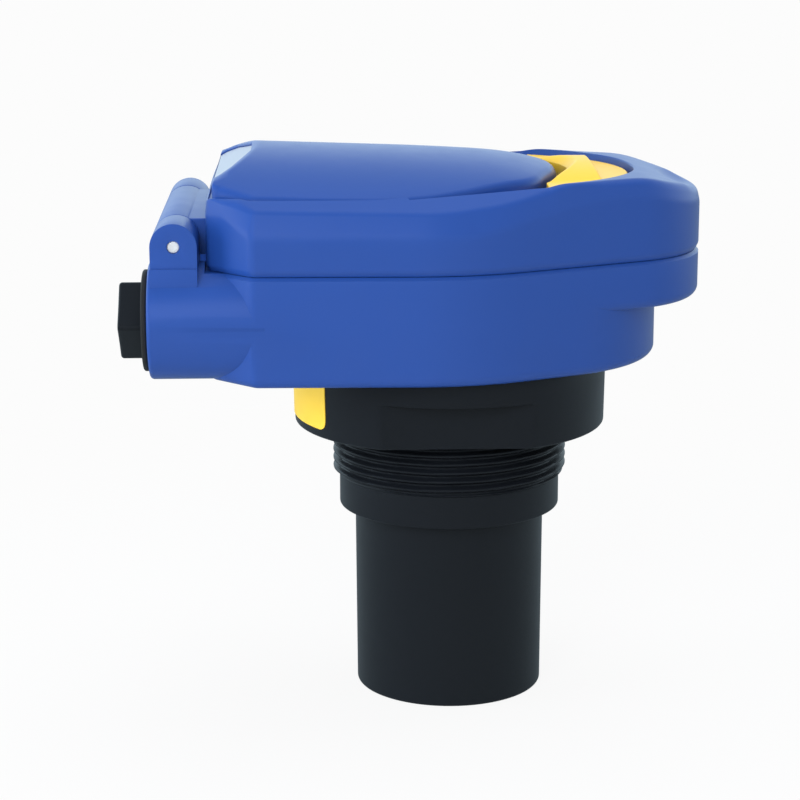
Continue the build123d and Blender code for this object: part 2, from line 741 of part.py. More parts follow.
earth -= block(ground_x - clear, ground_x + clear, -slot_half_width, slot_half_width, earth_top - 1, earth_top)
save(earth, "ground_screw")
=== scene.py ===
import json
from math import atan2, cos, pi, radians, sin, sqrt, tan

import bmesh
import bpy
import numpy as np
from mathutils import Matrix, Vector


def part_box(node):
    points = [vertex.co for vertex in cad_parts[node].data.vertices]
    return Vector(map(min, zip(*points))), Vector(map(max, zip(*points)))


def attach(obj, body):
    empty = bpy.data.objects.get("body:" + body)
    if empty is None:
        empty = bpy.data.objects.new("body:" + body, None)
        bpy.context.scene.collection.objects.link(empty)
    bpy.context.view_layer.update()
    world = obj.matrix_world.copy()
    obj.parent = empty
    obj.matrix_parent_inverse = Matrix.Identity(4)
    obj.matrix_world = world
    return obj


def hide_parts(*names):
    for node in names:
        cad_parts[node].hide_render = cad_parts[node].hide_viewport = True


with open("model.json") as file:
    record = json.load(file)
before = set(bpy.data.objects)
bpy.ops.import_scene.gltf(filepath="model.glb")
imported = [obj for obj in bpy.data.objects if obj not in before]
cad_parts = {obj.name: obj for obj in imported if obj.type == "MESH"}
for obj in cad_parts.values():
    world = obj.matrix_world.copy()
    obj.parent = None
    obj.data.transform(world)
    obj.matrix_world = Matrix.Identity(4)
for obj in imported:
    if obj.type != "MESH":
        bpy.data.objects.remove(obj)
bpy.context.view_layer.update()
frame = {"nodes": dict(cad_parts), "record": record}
print("frame loaded:", len(frame["nodes"]), "nodes")

# Lengths are in millimetres and angles in degrees unless a note says otherwise; meshes are written in metres.
# A round is a corner's radius and the steps of its arc.
perMetre = 1000.0
fullTurn = 2 * pi
tiny = 1e-9
axisPoint = (0.0, 0.0)
smallRound = (0.3, 3)


class Sizes(dict):
    # a dictionary whose values are also read as attributes
    __getattr__ = dict.__getitem__


def boxOf(node):
    low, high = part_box(node)
    return np.array(low) * perMetre, np.array(high) * perMetre


# Places read from the frame
pinLow, pinHigh = boxOf("hinge_pin")
sealLow, sealHigh = boxOf("plug_seal")
plugLow, plugHigh = boxOf("conduit_plug")
lidBase, seatHeight, stemFoot = (boxOf(node)[0][2] for node in ("lid", "lower_housing", "latch_plate"))
neckTop = boxOf("sensor_body")[1][2]
partingGap = 0.25
partingHeight = lidBase - partingGap
hingeX, hingeZ = ((pinLow + pinHigh) / 2)[[0, 2]]
entryCentre = ((sealLow + sealHigh) / 2)[1:]


# Meshes from rings of points
def addObject(name, data):
    item = bpy.data.objects.new(name, data)
    bpy.context.scene.collection.objects.link(item)
    return item


def meshObject(name, points, faces):
    # an object at the origin with its place in its mesh
    mesh = bpy.data.meshes.new(name)
    mesh.from_pydata(np.asarray(points).tolist(), [], [tuple(face) for face in faces])
    return addObject(name, mesh)


def ringSurface(rings, closed=False):
    # quads between neighbouring rings; a closed run joins its last ring to its first, and an open one gets a
    # point in the middle of each end ring
    stack = np.stack(rings)
    rows, columns = stack.shape[:2]
    around = np.arange(columns)
    ahead = (around + 1) % columns
    first = np.arange(rows if closed else rows - 1)[:, None] * columns
    second = (first + columns) % (rows * columns)
    quads = np.stack([first + around, first + ahead, second + ahead, second + around], -1)
    points, faces = stack.reshape(-1, 3), quads.reshape(-1, 4).tolist()
    if not closed:
        pole, lastRow = np.full(columns, rows * columns), (rows - 1) * columns
        points = np.concatenate([points, [stack[0].mean(0), stack[-1].mean(0)]])
        faces += np.stack([pole, ahead, around], -1).tolist()
        faces += np.stack([pole + 1, lastRow + around, lastRow + ahead], -1).tolist()
    return points, faces


def joined(*surfaces):
    # several closed surfaces in one mesh
    points, faces, offset = [], [], 0
    for surfacePoints, surfaceFaces in surfaces:
        points.append(surfacePoints)
        faces += [tuple(i + offset for i in face) for face in surfaceFaces]
        offset += len(surfacePoints)
    return np.concatenate(points), faces


def outward(surface):
    # a closed surface whose faces point inwards encloses a negative volume, and is turned round
    points, faces = surface
    triangles = [face[:3] for face in faces] + [(face[0], face[2], face[3]) for face in faces if len(face) > 3]
    a, b, c = points[np.array(triangles)].transpose(1, 0, 2)
    inwards = (a * np.cross(b, c)).sum() < 0
    return points, [tuple(face)[::-1] for face in faces] if inwards else faces


def unit(vectors):
    return vectors / np.maximum(np.linalg.norm(vectors, axis=-1, keepdims=True), tiny)


def halfAngleBetween(u, v):
    return 0.5 * np.arccos(np.clip((u * v).sum(-1), -1.0, 1.0))


def cornerArc(before, corner, after, radius, steps, leastAngle=0.05, mostReach=0.9):
    # rings along the arc that rounds a corner: a conic whose weight is the sine of half the corner's angle, and
    # which takes up no more than most of the shorter side
    toBefore, toAfter = before - corner, after - corner
    shorter = np.minimum(np.linalg.norm(toBefore, axis=-1), np.linalg.norm(toAfter, axis=-1))
    u, v = unit(toBefore), unit(toAfter)
    halfAngle = np.clip(halfAngleBetween(u, v), leastAngle, pi / 2)
    reach = np.minimum(radius / np.tan(halfAngle), mostReach * shorter)[:, None]
    start, end = corner + u * reach, corner + v * reach
    weight = np.sin(halfAngle)[:, None]
    rings = []
    for t in np.linspace(0.0, 1.0, steps):
        a, b, c = (1 - t) ** 2, 2 * t * (1 - t) * weight, t ** 2
        rings.append((a * start + b * corner + c * end) / (a + b + c))
    return rings


def roundedProfile(stations, closed=False):
    # a station is a ring to keep as it is, or a ring with the round that its corner gets
    corners = [station if isinstance(station, tuple) else (station, None) for station in stations]
    rings, count = [], len(corners)
    for i, (ring, rounding) in enumerate(corners):
        if rounding and (closed or 0 < i < count - 1):
            rings += cornerArc(corners[i - 1][0], ring, corners[(i + 1) % count][0], *rounding)
        else:
            rings.append(ring)
    return rings


def profileSurface(stations, closed=False):
    return ringSurface(roundedProfile(stations, closed), closed)


def atHeight(plan, height):
    return np.concatenate([plan, np.broadcast_to(np.asarray(height, float), plan.shape[:1])[:, None]], -1)


def acrossAxis(axis, loop, place):
    # a ring across an axis, at a place on it; the loop holds the two other coordinates in cyclic order
    return np.roll(atHeight(loop, place), axis + 1, 1)


def sleeve(axis, outerLoop, innerLoop, low, high, outerRound, innerRound=(0.2, 3)):
    # a bar along an axis with a hole through it: round its outside from low to high, and back through the hole
    stations = [(acrossAxis(axis, loop, place), rounding) for loop, place, rounding in (
        (outerLoop, low, outerRound), (outerLoop, high, outerRound),
        (innerLoop, high, innerRound), (innerLoop, low, innerRound))]
    return outward(profileSurface(stations, closed=True))


# Plan outlines
def resampled(points, along, positions):
    # the points at given positions along a line of points
    return np.stack([np.interp(positions, along, column) for column in points.T], -1)


def runLengths(points):
    # the way along the points, from the first to each of them
    return np.r_[0.0, np.cumsum(np.linalg.norm(np.diff(points, axis=0), axis=1))]


def polarAngles(points, centre):
    return np.arctan2(points[:, 1] - centre[1], points[:, 0] - centre[0])


def fromPolar(centre, angles, radius):
    return np.array(centre) + np.stack([np.cos(angles), np.sin(angles)], -1) * np.asarray(radius)[..., None]


def circleLoop(centre, radius, count):
    return fromPolar(centre, np.linspace(0.0, fullTurn, count, endpoint=False), radius)


def scaledLoop(loop, middle, share):
    # a loop drawn in to its middle or out from it
    return middle + (loop - middle) * share


def roundedOutline(corners, radii, spacing=0.2, leastPoints=5):
    # convex polygon, counter-clockwise, each corner rounded by an arc, with points spaced evenly all round
    corners, radii = np.array(corners, float), np.array(radii, float)
    u = unit(np.roll(corners, 1, 0) - corners)
    v = unit(np.roll(corners, -1, 0) - corners)
    half = halfAngleBetween(u, v)
    centres = corners + unit(u + v) * (radii / np.sin(half))[:, None]
    starts = corners + u * (radii / np.tan(half))[:, None]
    points = []
    for centre, start, turn, radius in zip(centres, starts, pi - 2 * half, radii):
        first = atan2(start[1] - centre[1], start[0] - centre[0])
        turns = np.linspace(0.0, turn, max(leastPoints, int(radius * turn / spacing)))
        points.append(fromPolar(centre, first + turns, radius))
    points = np.concatenate(points)
    closed = np.vstack([points, points[:1]])
    lengths = runLengths(closed)
    positions = np.linspace(0.0, lengths[-1], int(lengths[-1] / spacing), endpoint=False)
    keep = np.r_[True, np.diff(lengths) > tiny]
    return resampled(closed[keep], lengths[keep], positions)


def movedIn(corners, inset):
    # each side of a convex polygon moved inwards, with new corners where the sides cross
    corners = np.array(corners, float)
    along = unit(np.roll(corners, -1, 0) - corners)
    shifted = corners + np.stack([-along[:, 1], along[:, 0]], -1) * inset
    before, beforeAlong = np.roll(shifted, 1, 0), np.roll(along, 1, 0)
    gap = shifted - before
    cross = beforeAlong[:, 0] * along[:, 1] - beforeAlong[:, 1] * along[:, 0]
    reach = (gap[:, 0] * along[:, 1] - gap[:, 1] * along[:, 0]) / cross
    return before + beforeAlong * reach[:, None]


def insetOutline(corners, radii, inset, leastRadius=0.4):
    return roundedOutline(movedIn(corners, inset), np.maximum(np.array(radii) - inset, leastRadius))


def outlineColumns(outline, count, turnShare=0.35, window=9):
    # column points spread by length and by turning, so that tight corners get more of them, with outward normals
    ahead = np.roll(outline, -1, 0) - outline
    length = np.linalg.norm(ahead, axis=1)
    heading = np.unwrap(np.arctan2(ahead[:, 1], ahead[:, 0]))
    turn = np.abs(np.diff(np.r_[heading, heading[0] + fullTurn]))
    side = window // 2
    turn = np.convolve(np.r_[turn[-side:], turn, turn[:side]], np.ones(window) / window, "valid")
    weight = (1 - turnShare) * length / length.sum() + turnShare * turn / turn.sum()
    total = np.r_[0.0, np.cumsum(weight)]
    positions = np.linspace(0.0, total[-1], count, endpoint=False)
    points = resampled(np.vstack([outline, outline[:1]]), total, positions)
    tangent = np.roll(outline, -2, 0) - np.roll(outline, 2, 0)
    tangent = unit(resampled(unit(np.vstack([tangent, tangent[:1]])), total, positions))
    return points, np.stack([tangent[:, 1], -tangent[:, 0]], -1)


def radiusAt(outline, centre, angles):
    # distance from a centre to an outline at given polar angles; the outline is seen whole from the centre
    polar = polarAngles(outline, centre)
    order = np.argsort(polar)
    polar, radius = polar[order], np.linalg.norm(outline - np.array(centre), axis=1)[order]
    polar = np.r_[polar[-1] - fullTurn, polar, polar[0] + fullTurn]
    radius = np.r_[radius[-1], radius, radius[0]]
    wrapped = (np.asarray(angles) + pi) % fullTurn - pi
    return np.interp(wrapped, polar, radius)


def softMin(a, b, blend):
    # the lower of two heights, rounded off where they lie within the blend of each other
    overlap = np.maximum(blend - np.abs(a - b), 0.0) / blend
    return np.minimum(a, b) - overlap ** 2 * blend / 4


def mirrored(corners):
    # the corners on one side of the middle line, and then those on the other; the first lies on the line
    return corners + [(x, -y) for x, y in corners[:0:-1]]


casePlan = Sizes(
    frontX=63.5, frontRadius=29.6, sideTaper=25.0, shoulderHalfWidth=46.6, shoulderRadius=60.0,
    chamferX=-49.5, chamferHalfWidth=45.2, rearX=-60.5, rearHalfWidth=34.3, cornerRadius=3.5,
    wall=3.0,
)
taper = radians(casePlan.sideTaper)
tipX = casePlan.frontX - casePlan.frontRadius + casePlan.frontRadius / sin(taper)
planCorners = mirrored([
    (tipX, 0.0), (tipX - casePlan.shoulderHalfWidth / tan(taper), casePlan.shoulderHalfWidth),
    (casePlan.chamferX, casePlan.chamferHalfWidth), (casePlan.rearX, casePlan.rearHalfWidth)])
planRadii = [casePlan.frontRadius, casePlan.shoulderRadius] + [casePlan.cornerRadius] * 4
planRadii += [casePlan.shoulderRadius]


# Nodes for finishes and studio
def feed(tree, node, feeds):
    # each socket gets a value of its own or another node's output
    for label, value in feeds.items():
        if isinstance(value, bpy.types.NodeSocket):
            tree.links.new(value, node.inputs[label])
        else:
            node.inputs[label].default_value = value


def addNode(tree, kind, feeds=(), **settings):
    node = tree.nodes.new("ShaderNode" + kind)
    for name, value in settings.items():
        setattr(node, name, value)
    feed(tree, node, dict(feeds))
    return node


def mathNode(tree, operation, *values):
    return addNode(tree, "Math", enumerate(values), operation=operation).outputs[0]


def noiseNode(tree, place, scale, detail, roughness=0.55):
    feeds = {"Vector": place, "Scale": scale, "Detail": detail, "Roughness": roughness}
    return addNode(tree, "TexNoise", feeds).outputs["Fac"]


def spreadRound(tree, noise, spread, middle):
    # a value that a noise between 0 and 1 moves to both sides of a middle
    return mathNode(tree, "MULTIPLY_ADD", mathNode(tree, "SUBTRACT", noise, 0.5), spread, middle)


def finishGroup(name, inputs):
    # a shader group that puts out a colour, a roughness and a height, each varying over the surface
    group = bpy.data.node_groups.new(name, "ShaderNodeTree")
    for label, kind, value in inputs + [("Roughness", "Float", 0.4), ("Gloss Spread", "Float", 0.1)]:
        socket = group.interface.new_socket(label, in_out="INPUT", socket_type="NodeSocket" + kind)
        socket.default_value = value
    for label, kind in (("Color", "Color"), ("Roughness", "Float"), ("Height", "Float")):
        group.interface.new_socket(label, in_out="OUTPUT", socket_type="NodeSocket" + kind)
    return group, group.nodes.new("NodeGroupInput").outputs, addNode(group, "TexCoord").outputs["Object"]


def giveOut(group, given, tintNoise, tintSpread, glossNoise, height):
    # the colour with its lightness spread by one noise, the roughness spread by another, and the height
    tint = spreadRound(group, tintNoise, tintSpread, 1.0)
    shade = addNode(group, "HueSaturation", {"Color": given["Color"], "Value": tint})
    gloss = spreadRound(group, glossNoise, given["Gloss Spread"], given["Roughness"])
    feed(group, group.nodes.new("NodeGroupOutput"),
         {"Color": shade.outputs["Color"], "Roughness": gloss, "Height": height})
    return group


# scale and detail of each noise
noises = Sizes(clouds=(22.0, 3.0), patches=(160.0, 4.0), lines=(300.0, 4.0), grainDetail=2.0)
lineTint = 0.25


def buildMouldedFinish():
    # broad flow clouds in colour, finer patches in gloss, spark-eroded grain in height
    group, given, place = finishGroup("mouldedFinish", [
        ("Color", "Color", (0.5, 0.5, 0.5, 1.0)), ("Clouding", "Float", 0.06), ("Grain Scale", "Float", 2200.0)])
    clouds, patches = noiseNode(group, place, *noises.clouds), noiseNode(group, place, *noises.patches)
    grain = noiseNode(group, place, given["Grain Scale"], noises.grainDetail)
    return giveOut(group, given, clouds, given["Clouding"], patches, grain)


def buildBrushedFinish():
    # fine lines across one axis in colour, gloss and height, for turned, drawn and rolled metal
    group, given, place = finishGroup("brushedFinish", [
        ("Color", "Color", (0.6, 0.6, 0.6, 1.0)), ("Stretch", "Vector", (1.0, 40.0, 1.0))])
    stretched = addNode(group, "VectorMath", {0: place, 1: given["Stretch"]}, operation="MULTIPLY")
    lines = noiseNode(group, stretched.outputs["Vector"], *noises.lines)
    return giveOut(group, given, lines, lineTint, lines, lines)


mouldedFinish, brushedFinish = buildMouldedFinish(), buildBrushedFinish()


def srgb(red, green, blue):
    # a colour given as it looks on a screen, turned into the linear values that shaders use
    values = np.array([red, green, blue]) / 255.0
    linear = np.where(values <= 0.04045, values / 12.92, ((values + 0.055) / 1.055) ** 2.4)
    return (*map(float, linear), 1.0)


def newMaterial(name, group, settings, bumpDistance, shading):
    # a Principled shader fed by a finish group, with a bump from the group's height
    material = bpy.data.materials.new(name)
    material.use_nodes = True
    tree = material.node_tree
    finish = addNode(tree, "Group", settings, node_tree=group).outputs
    bump = addNode(tree, "Bump", {"Height": finish["Height"], "Distance": bumpDistance / perMetre})
    feed(tree, tree.nodes["Principled BSDF"], {
        "Base Color": finish["Color"], "Roughness": finish["Roughness"], "Normal": bump.outputs["Normal"], **shading})
    return material


def moulded(name, color, roughness, clouding=0.06, glossSpread=0.08, grainScale=2200.0, grainDepth=0.012, **shading):
    settings = {"Color": color, "Clouding": clouding, "Roughness": roughness, "Gloss Spread": glossSpread,
                "Grain Scale": grainScale}
    return newMaterial(name, mouldedFinish, settings, grainDepth, shading)


def metal(name, color, roughness, stretch=(1.0, 40.0, 1.0), glossSpread=0.2, lineDepth=0.004, metallic=1.0):
    settings = {"Color": color, "Stretch": stretch, "Roughness": roughness, "Gloss Spread": glossSpread}
    return newMaterial(name, brushedFinish, settings, lineDepth, {"Metallic": metallic})


dullShine = {"Specular IOR Level": 0.35}
clearPlastic = {"Transmission Weight": 1.0, "IOR": 1.49}
finishes = {
    "blue_housing": moulded("bluePlastic", srgb(32, 69, 144), 0.33, grainScale=2600.0),
    "black_body": moulded("blackPlastic", srgb(20, 23, 28), 0.40, clouding=0.10, **dullShine),
    "yellow_latch": moulded("yellowPlastic", srgb(240, 194, 38), 0.38, clouding=0.04),
    "latch_inner": moulded("hookPlastic", srgb(52, 54, 56), 0.45),
    "pin_steel": metal("pinSteel", (0.90, 0.90, 0.91, 1.0), 0.35, metallic=0.45),
    "screw_steel": metal("screwSteel", (0.66, 0.66, 0.67, 1.0), 0.32),
    "ground_green": moulded("greenLacquer", srgb(42, 130, 66), 0.30),
    "seal_rubber": moulded("sealRubber", srgb(34, 34, 35), 0.62, glossSpread=0.15),
    "label_yellow": moulded("labelStock", srgb(252, 210, 62), 0.42, clouding=0.03, grainDepth=0.004),
    "plate_silver": metal("plateAluminium", (0.50, 0.53, 0.63, 1.0), 0.40, metallic=0.6),
    "panel_grey": moulded("panelPlastic", srgb(182, 186, 190), 0.45),
    "window_clear": moulded("windowPlastic", (0.95, 0.97, 0.98, 1.0), 0.05, clouding=0.0, glossSpread=0.02,
                            grainDepth=0.0005, **clearPlastic),
    "display_grey": moulded("displayFace", srgb(150, 160, 140), 0.30),
    "key_dark": moulded("keyRubber", srgb(66, 74, 86), 0.55),
    "switch_black": moulded("partBlack", srgb(38, 38, 40), 0.50),
    "board_green": moulded("boardMask", srgb(28, 104, 62), 0.28),
    "connector_cream": moulded("connectorCream", srgb(226, 220, 200), 0.45),
    "wire_red": moulded("wireRed", srgb(176, 40, 34), 0.40),
    "disc_ceramic": moulded("ceramicDisc", srgb(216, 212, 200), 0.55),
    "backing_grey": moulded("resinGrey", srgb(112, 112, 116), 0.6),
    "terminal_green": moulded("terminalGreen", srgb(60, 140, 96), 0.40),
    "capacitor_can": metal("canAluminium", (0.74, 0.74, 0.76, 1.0), 0.30, stretch=(1.0, 1.0, 30.0)),
}


def coverWith(item, slot):
    item.data.materials.clear()
    item.data.materials.append(finishes[slot])


slotOf = {row["node"]: row["material_slot"] for row in frame["record"]["subparts"]}
for nodeName, node in frame["nodes"].items():
    coverWith(node, slotOf[nodeName])
print("finishes set:", len(finishes))


def finishPiece(piece, body, slot, node, sharpAngle=40.0):
    # smooth shading, sharp where two faces turn by more than the angle; then the slot's material, the body it rides
    # on, and the frame node it stands for hidden
    piece.data.shade_smooth()
    piece.data.set_sharp_from_angle(angle=radians(sharpAngle))
    coverWith(piece, slot)
    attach(piece, body)
    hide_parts(node)
    print(piece.name, "built:", len(piece.data.polygons), "faces")


def makePiece(name, surface, *place, **shading):
    # a piece from a surface in millimetres; place is its body, its slot and the node it stands for
    points, faces = surface
    piece = meshObject(name, points / perMetre, faces)
    piece.data.validate()
    finishPiece(piece, *place, **shading)


# Camera at the photograph's angle, floor, world and lamps; the camera's clip distances are in metres
cameraView = Sizes(azimuth=-2.095, elevation=13.20, roll=-0.129, distance=595.48,
                   target=(-12.766, 0.0, 75.487), focalPixels=2296.35, imagePixels=800.0,
                   sensorWidth=36.0, clip=(0.01, 20.0))


def buildCamera():
    view = cameraView
    azimuth, elevation = radians(view.azimuth), radians(view.elevation)
    away = Vector((sin(azimuth) * cos(elevation), -cos(azimuth) * cos(elevation), sin(elevation)))
    data = bpy.data.cameras.new("photoCamera")
    data.sensor_width = view.sensorWidth
    data.lens = view.focalPixels * view.sensorWidth / view.imagePixels
    data.clip_start, data.clip_end = view.clip
    camera = addObject("photoCamera", data)
    place = Vector(view.target) + away * view.distance
    turn = away.to_track_quat("Z", "Y").to_matrix() @ Matrix.Rotation(radians(view.roll), 3, "Z")
    camera.matrix_world = Matrix.Translation(place / perMetre) @ turn.to_4x4()
    bpy.context.scene.camera = camera


# floorHalf, floorAcross and shadowReach are in metres; roomAcross and upperAcross are components of a direction
studio = Sizes(backdrop=srgb(252, 252, 252), paper=(0.8, 0.8, 0.8, 1.0), floorHalf=3.0,
               floorShadow=0.08, shadowReach=(0.10, 0.32), ambient=0.62,
               floorAcross=(-0.25, 0.25), floorGloss=(0.24, 0.45),
               roomAcross=(-0.5, 0.5), roomGloss=(0.42, 1.4), upperAcross=(0.2, 0.75), upperGloss=(1.0, 0.35),
               glossTint=(0.70, 0.89, 1.0, 1.0), lampColor=(0.90, 0.95, 1.0))
lamps = {"key": {"place": (-260.0, -820.0, 560.0), "size": 600.0, "watts": 6.4},
         "left": {"place": (-760.0, -160.0, 200.0), "size": 500.0, "watts": 3.6},
         "right": {"place": (700.0, 380.0, 240.0), "size": 500.0, "watts": 1.4},
         "top": {"place": (60.0, 160.0, 900.0), "size": 700.0, "watts": 3.8}}


def rayKinds(tree):
    # 1 for the rays that see the bare backdrop, camera and transmitted ones, and 1 for glossy rays
    path = addNode(tree, "LightPath").outputs
    return mathNode(tree, "MAXIMUM", path["Is Camera Ray"], path["Is Transmission Ray"]), path["Is Glossy Ray"]


def smoothRamp(tree, value, start, end):
    # from one pair of values to another, eased at both ends
    feeds = {"Value": value, "From Min": start[0], "From Max": start[1], "To Min": end[0], "To Max": end[1]}
    return addNode(tree, "MapRange", feeds, interpolation_type="SMOOTHSTEP").outputs["Result"]


def rampAlong(tree, vector, axis, start, end):
    parts = addNode(tree, "SeparateXYZ", {0: vector})
    return smoothRamp(tree, parts.outputs[axis], start, end)


def tinted(tree, glossy):
    # the backdrop's colour, turned bluish for reflections
    feeds = {"Factor": glossy, "A": studio.backdrop, "B": studio.glossTint}
    return addNode(tree, "Mix", feeds, data_type="RGBA").outputs["Result"]


def buildFloor():
    # paper that catches the object's shadow, and glows as the backdrop does where a ray sees it bare;
    # in reflections it is darker before the object than behind it
    half = studio.floorHalf
    corners = [(-half, -half, 0.0), (half, -half, 0.0), (half, half, 0.0), (-half, half, 0.0)]
    floor = meshObject("studioFloor", corners, [(0, 1, 2, 3)])
    material = bpy.data.materials.new("floorPaper")
    material.use_nodes = True
    tree = material.node_tree
    tree.nodes.clear()
    plain, glossy = rayKinds(tree)
    where = addNode(tree, "NewGeometry").outputs["Position"]
    room = rampAlong(tree, where, "Y", studio.floorAcross, studio.floorGloss)
    dimmed = mathNode(tree, "MULTIPLY_ADD", mathNode(tree, "SUBTRACT", room, 1.0), glossy, 1.0)
    distance = addNode(tree, "VectorMath", {0: where}, operation="LENGTH").outputs["Value"]
    fade = smoothRamp(tree, distance, studio.shadowReach, (1.0 - studio.floorShadow, 1.0))
    shown = mathNode(tree, "MAXIMUM", mathNode(tree, "MULTIPLY", plain, fade), glossy)
    paper = addNode(tree, "BsdfDiffuse", {"Color": studio.paper})
    glow = addNode(tree, "Emission", {"Color": tinted(tree, glossy), "Strength": dimmed})
    mix = addNode(tree, "MixShader", {"Fac": shown, 1: paper.outputs["BSDF"], 2: glow.outputs["Emission"]})
    addNode(tree, "OutputMaterial", {"Surface": mix.outputs["Shader"]})
    floor.data.materials.append(material)


def buildWorld():
    # an even room for light; in reflections it is darker before the object and overhead, and pale behind it
    world = bpy.data.worlds.new("studioWorld")
    bpy.context.scene.world = world
    world.use_nodes = True
    tree, ambient = world.node_tree, studio.ambient
    plain, glossy = rayKinds(tree)
    direction = addNode(tree, "TexCoord").outputs["Generated"]
    room = mathNode(tree, "MULTIPLY", rampAlong(tree, direction, "Y", studio.roomAcross, studio.roomGloss),
                    rampAlong(tree, direction, "Z", studio.upperAcross, studio.upperGloss))
    even = mathNode(tree, "MULTIPLY_ADD", plain, 1.0 - ambient, ambient)
    strength = mathNode(tree, "MULTIPLY_ADD", mathNode(tree, "SUBTRACT", room, ambient), glossy, even)
    feed(tree, tree.nodes["Background"], {"Color": tinted(tree, glossy), "Strength": strength})


def buildLamp(name, settings):
    data = bpy.data.lights.new(name, "AREA")
    data.shape = "DISK"
    data.size = settings["size"] / perMetre
    data.energy = settings["watts"]
    data.color = studio.lampColor
    lamp = addObject(name, data)
    place = Vector(settings["place"]) / perMetre
    aim = Vector(cameraView.target) / perMetre
    lamp.matrix_world = Matrix.Translation(place) @ (place - aim).to_track_quat("Z", "Y").to_matrix().to_4x4()
    lamp.visible_glossy = False


bpy.context.scene.view_settings.view_transform = "Standard"
buildCamera()
buildFloor()
buildWorld()
for lampName, lampSettings in lamps.items():
    buildLamp(lampName + "Lamp", lampSettings)
print("camera, floor and lamps placed")


# Lower housing: edges that turn by more than the angle are rounded by edge, and by flow in the hollows beside the
# conduit bosses, which lie behind flowX, outside flowY, under the lid and away from the entry's own rings
housingShape = Sizes(edge=0.45, flow=1.8, angle=28.0, segments=4, dissolve=0.6, weld=0.002,
                     flowX=-46.0, flowY=26.0, underLid=0.5, bossY=31.0, bossReach=11.0)


def evaluatedMesh(item):
    # a new mesh with the item's modifiers worked in
    return bpy.data.meshes.new_from_object(item.evaluated_get(bpy.context.evaluated_depsgraph_get()))


def buildHousing():
    # the frame's own mesh with its flat faces merged, and a bevel weight on each edge to be rounded
    shape, source = housingShape, frame["nodes"]["lower_housing"]
    piece = meshObject("housingBody", [], [])
    mesh, work = piece.data, bmesh.new()
    work.from_mesh(source.data)
    work.transform(source.matrix_world)
    bmesh.ops.remove_doubles(work, verts=work.verts, dist=shape.weld / perMetre)
    bmesh.ops.dissolve_limit(work, angle_limit=radians(shape.dissolve), verts=work.verts, edges=work.edges)
    work.normal_update()
    turn = np.array([edge.calc_face_angle_signed(0.0) if len(edge.link_faces) == 2 else 0.0 for edge in work.edges])
    middle = np.array([((edge.verts[0].co + edge.verts[1].co) / 2)[:] for edge in work.edges]) * perMetre
    work.to_mesh(mesh)
    work.free()
    x, y, z = middle[:, 0], np.abs(middle[:, 1]), middle[:, 2]
    flow = (turn < 0) & (x < shape.flowX) & (y > shape.flowY) & (z < lidBase - shape.underLid)
    flow &= np.hypot(y - shape.bossY, z - entryCentre[1]) > shape.bossReach
    weight = np.where(flow, 1.0, shape.edge / shape.flow) * (np.abs(turn) > radians(shape.angle))
    mesh.attributes.new("bevel_weight_edge", "FLOAT", "EDGE").data.foreach_set("value", weight.astype(np.float32))
    mesh.shade_smooth()
    bevel = piece.modifiers.new("rounding", "BEVEL")
    bevel.limit_method, bevel.miter_outer, bevel.use_clamp_overlap = "WEIGHT", "MITER_ARC", True
    bevel.width, bevel.segments = shape.flow / perMetre, shape.segments
    rounded = evaluatedMesh(piece)
    piece.modifiers.clear()
    piece.data = rounded
    bpy.data.meshes.remove(mesh)
    rounded.name = piece.name
    return piece


finishPiece(buildHousing(), "housing", "blue_housing", "lower_housing")


# Lid: a frame with the deck, walls and recess, and the hood over its opening. facetFoot and facetIn hold X and the
# facet's height and depth there. Beside the recess the deck is a narrow band: one narrower than fadeFrom lies at
# the recess's floor, and one wider by fadeOver has its full height.
lidShape = Sizes(
    deck=20.5, bevelKnee=(43.0, 15.3), bevelSlope=0.6211, bevelBlend=0.7,
    facetFoot=([-60.5, -56.5, -49.5, 4.0, 20.0, 35.0, 46.0, 50.0, 58.0, 63.5],
               [13.6, 13.6, 9.6, 9.4, 13.2, 16.0, 16.2, 15.4, 13.4, 12.0]),
    facetIn=([-60.5, -56.5, -49.5, 4.0, 20.0, 35.0, 63.5], [0.5, 0.5, 2.4, 2.4, 1.3, 1.1, 1.0]),
    facetLeast=1.2, facetShare=0.45, facetRound=(3.0, 9), footRound=(7.0, 7),
    noseStart=46.6, noseSlope=15.6, noseBlend=1.0, rearStart=20.3, rearSlope=27.9,
    rearCorner=17.5, rearCornerSlope=0.14, rearCornerBlend=0.8, chamferNormal=(0.704, 0.710),
    rimIn=0.7, rimUp=1.3, rimDrop=0.15, rimRound=(1.5, 4),
    fadeFrom=0.3, fadeOver=0.9, leastBand=0.5, edgeReach=3.3, edgeShare=0.86, edgeClear=0.08,
    floor=15.9, grooveFloor=16.6, floorFall=12.0, groove=1.0, openRound=(0.45, 4),
    wallFoot=0.25, wallRound=(0.25, 3), underHood=1.5, underClear=0.8,
    ceiling=14.15, ceilingClear=0.2, ceilingRound=(0.6, 3),
    innerTaperStart=10.75, innerTaper=3.7, taperRound=(1.0, 4),
    recessRadius=38.2, recessX=8.2, armX=21.5, backX=-12.0, arcPoints=400, sidePoints=120,
    scoopX=57.3, scoopLength=4.6, scoopHalfWidth=13.5, scoopDepth=1.2, scoopPower=1.3,
    columns=620, deckRows=26,
)
